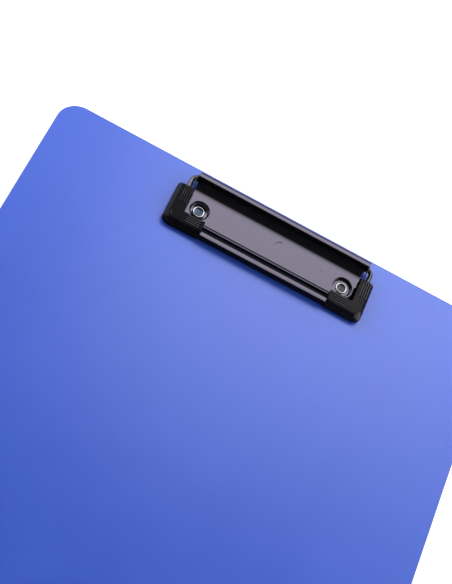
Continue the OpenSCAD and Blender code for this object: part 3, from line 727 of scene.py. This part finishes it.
def makeJaw():
    j = jaw
    front, inner = j["front"], j["front"] + j["sheet"]
    rear, toe = front + j["depth"], front + j["footDepth"]
    under, instep = j["top"] - j["sheet"], j["foot"] + j["footSheet"]
    edge = j["edge"]
    # outer face up the front and along the ledge, then back along the inner face
    section = roundedPath(
        [(toe, j["foot"]), (front, j["foot"]), (front, j["top"]), (rear, j["top"]), (rear, under),
         (inner, under), (inner, instep), (toe, instep)],
        [edge, j["footBend"], j["bend"], edge, edge, j["insideBend"], edge, edge], 7, True)
    shell = Shell()
    shell.carried(section, np.linspace(-j["half"], j["half"], 40))
    # straps crimped round the wire: half rings open towards the front wall
    outer, hollow = j["strap"]
    strap = joined(arc(clip["frontRun"], outer, 90, -90, 16), arc(clip["frontRun"], hollow, -90, 90, 16))
    for x in j["straps"]:
        start = x - j["strapWidth"] / 2
        shell.carried(strap, [start, start + 0.1, start + j["strapWidth"]])
    low, back = j["scuffed"]
    shell.piece("jawBar", "jaw", "jaw", "jaw_bar", "clip_black", others=[
        ("dull", lambda x, y, z: z < j["top"] - j["dull"]),
        ("foot", lambda x, y, z: (z < low) & (y > front + back))])


makeJaw()


wire = {
    "diameter": 2.2, "left": 47.6, "right": 48.3,   # how far each arm stands from the middle
    "frontBend": 4.0, "rearRight": 2.9, "rearLeft": 2.0, "gap": 0.4,
    "bevel": (0.12, 0.98),                          # length and end radius of the cut ends' bevel
}


def makeWire():
    w = wire
    (y0, z0), (y1, z1) = clip["frontRun"], clip["rearBar"]
    left, right, gap = w["left"], w["right"], w["gap"] / 2
    corners = [(gap, y1, z1), (right, y1, z1), (right, y0, z0), (-left, y0, z0), (-left, y1, z1), (-gap, y1, z1)]
    path = roundedPath(corners, [0, w["rearRight"], w["frontBend"], w["frontBend"], w["rearLeft"], 0], 14)
    radius = np.full(len(path), w["diameter"] / 2)
    # short bevel on the two cut ends
    length, endRadius = w["bevel"]
    ends = np.array([[length, 0, 0]])
    path = np.concatenate([path[:1], path[:1] + ends, path[1:-1], path[-1:] - ends, path[-1:]])
    radius = np.concatenate([[endRadius], radius, [endRadius]])
    across = np.cross([1, 0, 0], np.array([0, y1 - y0, z1 - z0]))
    shell = Shell()
    shell.tube(path, radius, 24, across / np.linalg.norm(across))
    shell.piece("bailWire", "wire", "jaw", "bail_wire", "spring_steel")


makeWire()


spring = {
    "wire": 0.7, "radius": 1.65, "turns": 6, "pitch": 0.71, "x": 41.8,
    "leg": 9.0,                          # the still leg, which lies under the plate
    "lean": 8.5, "capLeg": 7.75,         # the moving leg: degrees it slopes down, and its length
    "legRadius": 0.31, "tip": (0.29, 0.22), "root": (0.6, 0.2),   # root: how far inside the coil, and its radius
}


def makeSpring(sign, side):
    s = spring
    y, z = clip["rearBar"]
    # coil: y and z go round the rear bar by the radius times the angle's cosine and sine, and both the angle
    # and x grow evenly along it
    t = np.linspace(0, 1, s["turns"] * 28 + 1)
    angle = -math.pi / 2 - t * (s["turns"] + 0.5) * 2 * math.pi
    out = np.stack([t * 0, np.cos(angle), np.sin(angle)], 1)
    coil = np.stack([s["x"] + t * s["turns"] * s["pitch"], t * 0 + y, t * 0 + z], 1) + s["radius"] * out
    path = np.concatenate([coil[0] + np.array([[0, -s["leg"], 0], [0, -1.0, 0]]), coil])
    up = np.concatenate([[out[0]] * 2, out])
    shell = Shell()
    shell.tube(path * (sign, 1, 1), s["wire"] / 2, 12, up * (sign, 1, 1))
    shell.piece("springCoil" + side, "spring", "lid", "torsion_spring_" + side.lower(), "spring_steel", sharp=60)
    # the moving leg leaves the coil's top, runs forward and down, and ends in the cap's slot
    lean = math.radians(s["lean"])
    start = np.array([coil[-1, 0], y - s["radius"] * math.sin(lean), z + s["radius"] * math.cos(lean)])
    ahead = np.array([0, -math.cos(lean), -math.sin(lean)])
    (inside, rootRadius), end = s["root"], s["capLeg"]
    along = np.array([-inside, 0, 0.1, 0.2, end - 0.2, end - 0.08, end])
    radius = np.array([rootRadius] + [s["legRadius"]] * 4 + list(s["tip"]))
    shell = Shell()
    shell.tube((start + along[:, None] * ahead) * (sign, 1, 1), radius, 16, (0, 0, 1))
    shell.piece("springLeg" + side, "spring", "jaw", None, "spring_steel", sharp=60)


makeSpring(-1, "Left")
makeSpring(1, "Right")


rivet = {
    "hollow": {"Left": 2.24, "Right": 2.18}, "floor": 0.9,   # radius of the hollow and height of its plug
    "floorBend": (0.25, 0.15), "plugRise": 0.2,
    "ring": 0.26, "rise": 0.35, "seat": 1.08,                # the rolled ring and the face that it stands on
    "under": -3.45, "head": 3.8, "headThick": 0.85,          # the flat head below the board
    "headBend": ((0.25, 0.2), (0.5, 0.3)),                   # inwards and down: its upper and lower corner
}


def makeRivet(sign, side):
    r = rivet
    x0 = sign * clip["rivetX"]
    hollow = r["hollow"][side]
    shank = hollow + r["ring"]
    ringZ, foot = r["seat"] + r["rise"], r["under"] - r["headThick"]
    (inUpper, downUpper), (inLower, upLower) = r["headBend"]
    inFloor, upFloor = r["floorBend"]
    profile = joined(
        [(0.0, r["floor"]), (hollow - inFloor, r["floor"]), (hollow, r["floor"] + upFloor), (hollow, ringZ - 0.12)],
        arc((shank, ringZ), r["ring"], 160, -60, 20),
        [(shank, r["seat"] - 0.1), (shank, r["under"])],
        [(r["head"] - inUpper, r["under"]), (r["head"], r["under"] - downUpper), (r["head"], foot + upLower),
         (r["head"] - inLower, foot), (0.0, foot)])
    shell = Shell()
    shell.revolved(profile, x0, 64)
    # the floor and lower wall of the hollow take a darker finish: painted shade, on the left with a painted blue
    # reflection
    plug = ("plug" + side, lambda x, y, z: (
        (z > 0) & (z < ringZ - r["plugRise"]) & (np.hypot(x - x0, y) < hollow + 0.05)))
    shell.piece("rivet" + side, "rivet", "lid", "rivet_" + side.lower(), "rivet_steel", others=[plug])


makeRivet(-1, "Left")
makeRivet(1, "Right")


cap = {
    "half": 52.2, "front": -13.5, "rear": 9.4, "inner": 44.58, "arm": 33.0,
    "foot": 0.3, "skirt": 2.4, "top": 5.2,
    "tuck": 0.5,                                   # how far the foot is drawn in below the skirt
    "flapRear": -5.5, "lowRear": -7.1, "flapUnder": 3.4,
    # how far each side leans in from the skirt to the top
    "sideInset": 1.9, "frontInset": 2.45, "rearInset": 1.6, "armInset": 0.3, "innerInset": 0.1,
    "slotX": 46.06, "slotHalf": 0.41, "slotFront": 6.9, "slotFloor": 3.53,
    # share of the lean and height of each outline from the slot's floor up
    "slope": [(0.48, 3.53), (0.52, 3.95), (0.84, 4.82), (0.93, 5.04), (1.03, 5.16), (1.2, 5.2)],
    "sideRibs": 4, "sidePitch": 1.08, "sideRibY": (-1.7, 7.4),
    "frontRibs": (-6.3, -7.45, -8.6, -9.75), "frontRibX": (34.9, 41.9),
    "rim": (33.15, 34.5, -11.0, -5.6), "rimRise": 0.45,
    "rib": 0.5, "ribRise": 0.35, "ribRoot": 4.6,   # ribs start inside the moulding
    "bead": ((46.9, -7.6), 2.95, 0.2),             # the left crest's corner: centre, radius and thickness
    "sole": (42.9, 44.8, -5.2, 2.5, 0.35, 1.3),    # reaches into the relief beside the right rivet
    # the two mouldings differ a little: how far each side arm reaches, and where its first rib stands
    "reach": {"Left": 0.35, "Right": -0.25}, "firstRib": {"Left": 45.4, "Right": 46.7},
    "flankX": 49.8, "flankTop": 5.0, "flankY": -11,
    # painted highlight on the right cap's front corner: between these heights, between these depths, and past an X
    # that grows by a share of how far behind a line the face lies
    "cornerGlintZ": (3.2, 5.1), "cornerGlintY": (-12.2, -9.1), "cornerGlintX": (49.9, 0.65, -9.2),
}


def lShape(half, inset, tuck, armRear, slotted):
    # outline of the cap from its inboard front corner; each side stands in from its foot line by its own
    # full lean times inset, and the two outer sides by tuck as well
    c = cap
    side, front = half - inset * c["sideInset"] - tuck, c["front"] + inset * c["frontInset"] + tuck
    rear, arm = c["rear"] - inset * c["rearInset"], c["arm"] + inset * c["armInset"]
    inner = c["inner"] + inset * c["innerInset"]
    a, b = c["slotX"] - c["slotHalf"], c["slotX"] + c["slotHalf"]
    slotFront = c["slotFront"] if slotted else rear
    corners = [(arm, front), (side, front), (side, rear), (b, rear), (b, slotFront), (a, slotFront), (a, rear),
               (inner, rear), (inner, armRear), (arm, armRear)]
    radii = [0.8, 3.3 + 0.3 * inset, 2.0 - 1.1 * inset, 0, 0, 0, 0, 0.6, 0.5, 0.7]
    return roundedPath(corners, radii, 10, True)


def bar(shell, x0, x1, y0, y1, z0, z1, edge=0.16):
    # low rounded bar: a rounded rectangle lofted up, drawn in by the edge at the top; its corners' radius is
    # 1.4 times the edge, or what fits in half its width
    rings = []
    for inset, z in ((0, z0), (0, z1 - edge), (edge * 0.3, z1 - edge * 0.3), (edge, z1)):
        a, b, c, d = x0 + inset, x1 - inset, y0 + inset, y1 - inset
        radius = max(0.02, min(edge * 1.4, (b - a) / 2 - 0.02, (d - c) / 2 - 0.02))
        outline = roundedPath([(a, c), (b, c), (b, d), (a, d)], [radius] * 4, 3, True)
        rings.append(np.column_stack([outline, np.full(len(outline), z)]))
    shell.loft(rings)


def capMoulding(shell, half):
    # one outline for each height: share of the lean, tuck, height, and whether the slot is open there;
    # the lower block and the flap over the plate share their upper outlines
    c = cap
    foot = [(0, c["tuck"], c["foot"]), (0, 0.12, 0.9), (0, 0, 1.3), (0, 0, c["skirt"]), (0.03, 0, 2.62),
            (0.14, 0, 2.92), (0.42, 0, c["slotFloor"])]
    flap = [(0.38, 0, c["flapUnder"]), (0.42, 0, c["slotFloor"])]
    # the lower block's top stays just under the flap's
    for below, highest, armRear in ((foot, 5.0, c["lowRear"]), (flap, c["top"], c["flapRear"])):
        rings = [(*ring, False) for ring in below]
        rings += [(inset, 0, min(z, highest), True) for inset, z in c["slope"]]
        outlines = [lShape(half, inset, tuck, armRear, slotted) for inset, tuck, z, slotted in rings]
        shell.loft([np.column_stack([o, np.full(len(o), ring[2])]) for o, ring in zip(outlines, rings)])


def capRibs(shell, side):
    c = cap
    top, root, rib = c["top"] + c["ribRise"], c["ribRoot"], c["rib"] / 2
    front, rear = c["sideRibY"]
    for i in range(c["sideRibs"]):
        x = c["firstRib"][side] + i * c["sidePitch"]
        # a rib that would cross the slot ends before it
        end = c["slotFront"] - 0.05 if abs(x - c["slotX"]) < c["slotHalf"] + rib else rear
        bar(shell, x - rib, x + rib, front, end, root, top)
    for y in c["frontRibs"]:
        bar(shell, *c["frontRibX"], y - rib, y + rib, root, top)
    # floors of the grooves, a hair above the moulding's top, dull and darker as painted shade
    floor, hem, edge = c["top"] + 0.03, 0.1, 0.02
    first, last = c["firstRib"][side], c["firstRib"][side] + (c["sideRibs"] - 1) * c["sidePitch"]
    bar(shell, first - hem, last + hem, front + hem, c["slotFront"] - hem, root, floor, edge)
    left, right = c["frontRibX"]
    bar(shell, left + hem, right - hem, c["frontRibs"][-1], c["frontRibs"][0], root, floor, edge)
    bar(shell, *c["rim"], root, c["top"] + c["rimRise"])


def makeCap(sign, side):
    c = cap
    shell = Shell()
    capMoulding(shell, c["half"] + c["reach"][side])
    capRibs(shell, side)
    if sign < 0:
        # bead at the corner of the crest, coloured as a painted highlight, thickest at its middle by the sine of
        # the way along it
        centre, radius, thickness = c["bead"]
        bead = arc(centre, radius, -5, -62, 12)
        swell = thickness * np.sin(np.linspace(0.25, math.pi - 0.25, len(bead)))
        shell.tube(np.column_stack([bead, np.full(len(bead), c["top"] - 0.02)]), swell, 10, (0, 0, 1))
    else:
        bar(shell, *c["sole"])
    shell.points = [points * (sign, 1, 1) for points in shell.points]
    crest, top, flankTop, flankY = c["top"] + c["ribRise"] - 0.12, c["top"], c["flankTop"], c["flankY"]
    ribX, ribY = c["frontRibX"][0] - 0.05, c["sideRibY"][0] - 0.5
    (low, high), (ahead, behind), (cornerGlintX, share, line) = c["cornerGlintZ"], c["cornerGlintY"], c["cornerGlintX"]
    # later tests win: outer sides, the left one in painted light and the right one as dull as the left cap, then
    # the groove floors and the wall beside the plate in painted shade, then painted highlights on rib tops, the
    # left bead, the right front corner and the side ribs' tops
    others = [
        ("litFlank", lambda x, y, z: (x < -c["flankX"]) & (z < flankTop) & (y > flankY)),
        ("capLeft", lambda x, y, z: (x > c["flankX"] + 0.1) & (z < flankTop) & (y > flankY)),
        ("grooveShade", lambda x, y, z: (z > top + 0.01) & (z < top + 0.1)),
        ("grooveShade", lambda x, y, z: (abs(x) < c["inner"] + 0.13) & (y > c["flapRear"] + 0.5) & (z < flankTop)),
        ("crest", lambda x, y, z: (z > crest) & (abs(x) > ribX)),
        ("crest", lambda x, y, z: (z > top + 0.02) & (x < -47.5) & (y < -7)),
        ("crest", lambda x, y, z: (
            (z > low) & (z < high) & (y > ahead) & (y < behind) & (x > cornerGlintX + (y - line) * share))),
        ("crest" if sign > 0 else "crestLeft", lambda x, y, z: (z > crest) & (y > ribY))]
    shell.piece("cornerCap" + side, "cap" + side, "jaw", "corner_cap_" + side.lower(), "cap_rubber",
                sharp=30, others=others)


makeCap(-1, "Left")
makeCap(1, "Right")


studio = {
    # softbox: size and distance in metres, degrees off straight up and round from the clip's rear towards
    # the latch side, radiance, and the share of its width over which its left, right, lower and upper edge fade
    "panel": (0.80, 0.72), "distance": 0.85, "tilt": 33, "turn": 30, "glow": 4.2,
    "panelEdge": (0.10, 0.10, 0.62, 0.10),
    # cards at both sides: direction from the clip, radiance, size
    "left": ((-1.0, 0.58, 0.70), 5.7, (0.44, 0.52)),
    "right": ((1.0, 0.14, 0.62), 5.4, (0.34, 0.46)),
    "cardDistance": 0.48, "cardEdge": (0.35, 0.35, 0.35, 0.35),
    "fill": 0.38,                 # even light from all round
    "mirrored": 0.045,            # what polished parts see where there is no lamp
    "paper": opaque(0.86, 0.86, 0.86), "paperRoughness": 0.9, "floorGlow": 0.70,
    "floorHalf": 3.0, "floorDrop": 0.0002,
}


def stageMesh(name, points, faces, finish):
    # one flat square of the studio, which isn't part of the object
    mesh = bpy.data.meshes.new(name)
    mesh.from_pydata(points, [], faces)
    mesh.materials.append(finish.material)
    obj = bpy.data.objects.new(name, mesh)
    bpy.context.scene.collection.objects.link(obj)
    return obj


def stagePanel(name, centre, facing, size, glow, fades):
    # a flat emitting square that faces the clip; its glow fades towards its edges by its own UV
    facing = np.asarray(facing, float) / np.linalg.norm(facing)
    side = np.cross([0, 1.0, 0], facing)
    side /= np.linalg.norm(side)
    other = np.cross(facing, side)
    # corners: the centre plus half the width and half the height, to either side
    corner = np.array([(-1, -1), (1, -1), (1, 1), (-1, 1)]) / 2
    points = np.asarray(centre) + corner[:, :1] * size[0] * side + corner[:, 1:] * size[1] * other
    finish = Finish(name + "Glow", Base_Color=opaque(0, 0, 0), Roughness=1.0, Specular_IOR_Level=0.0,
                    Emission_Strength=glow)
    uv = finish.start.node("ShaderNodeUVMap", {"uv_map": "panel"}, {})
    shares = []
    for axis in (0, 1):
        u = uv.part(axis)
        # distance to each edge over its fading width, the smaller of the two held to 1 and eased
        near = finish.start.maths("MINIMUM", u / fades[2 * axis], (1 - u) / fades[2 * axis + 1])
        near = finish.start.maths("MINIMUM", near, 1.0)
        shares.append(near * near * (3 - 2 * near))
    finish.feed(Emission_Color=shares[0] * shares[1])
    panel = stageMesh(name, points.tolist(), [(3, 2, 1, 0)], finish)
    layer = panel.data.uv_layers.new(name="panel")
    layer.data.foreach_set("uv", np.array([(0, 1), (1, 1), (1, 0), (0, 0)], float).ravel())
    panel.visible_camera = False


def makeFloor():
    # one flat square under the case, just below its feet; it shows pale to the camera and in polished parts
    half, z = studio["floorHalf"], -studio["floorDrop"]
    finish = Finish("studioPaper", Base_Color=studio["paper"], Roughness=studio["paperRoughness"],
                    Emission_Strength=studio["floorGlow"])
    camera, glossy, through = [finish.start.node("ShaderNodeLightPath", {}, {}, ray) for ray in (
        "Is Camera Ray", "Is Glossy Ray", "Is Transmission Ray")]
    finish.feed(Emission_Color=finish.start.maths("MINIMUM", camera + glossy + through, 1.0))
    stageMesh("studioFloor", [(-half, -half, z), (half, -half, z), (half, half, z), (-half, half, z)],
              [(0, 1, 2, 3)], finish)


def makeLight():
    s = studio
    target = inClip((0, 0, 0))
    tilt, turn = math.radians(s["tilt"]), math.radians(s["turn"])
    # direction: the sine of the tilt shared out by the turn's sine and cosine, and the tilt's cosine upwards
    away = np.array([math.sin(tilt) * math.sin(turn), math.sin(tilt) * math.cos(turn), math.cos(tilt)])
    stagePanel("softbox", target + away * s["distance"], away, s["panel"], s["glow"], s["panelEdge"])
    for name in ("left", "right"):
        away, glow, size = s[name]
        away = np.array(away) / np.linalg.norm(away)
        stagePanel(name + "Card", target + away * s["cardDistance"], away, size, glow, s["cardEdge"])
    world = bpy.data.worlds.new("studioRoom")
    world.use_nodes = True
    tree = world.node_tree
    room = Signal(tree)
    camera, glossy = [room.node("ShaderNodeLightPath", {}, {}, ray) for ray in ("Is Camera Ray", "Is Glossy Ray")]
    # plain white to the camera, a dim room in reflections, a low even fill for everything else
    shade = camera + (1 - camera) * (glossy * s["mirrored"] + (1 - glossy) * s["fill"])
    tree.links.new(shade.socket, tree.nodes["Background"].inputs["Color"])
    bpy.context.scene.world = world


view = {
    "lens": 74.645, "sensor": 36, "nearest": 0.01,   # the first two in mm, as a camera's own
    "place": (-0.05417, -0.15264, 0.51139),
    "turn": (23.6053, -16.4011, 23.2998),            # degrees about X, Y and Z
}


def makeCamera():
    data = bpy.data.cameras.new("view")
    data.lens = view["lens"]
    data.sensor_width = view["sensor"]
    data.clip_start = view["nearest"]
    camera = bpy.data.objects.new("view", data)
    camera.location = view["place"]
    camera.rotation_euler = [math.radians(a) for a in view["turn"]]
    bpy.context.scene.collection.objects.link(camera)
    bpy.context.scene.camera = camera


makeFloor()
makeLight()
makeCamera()
bpy.context.scene.view_settings.view_transform = "Standard"
print("stage set")
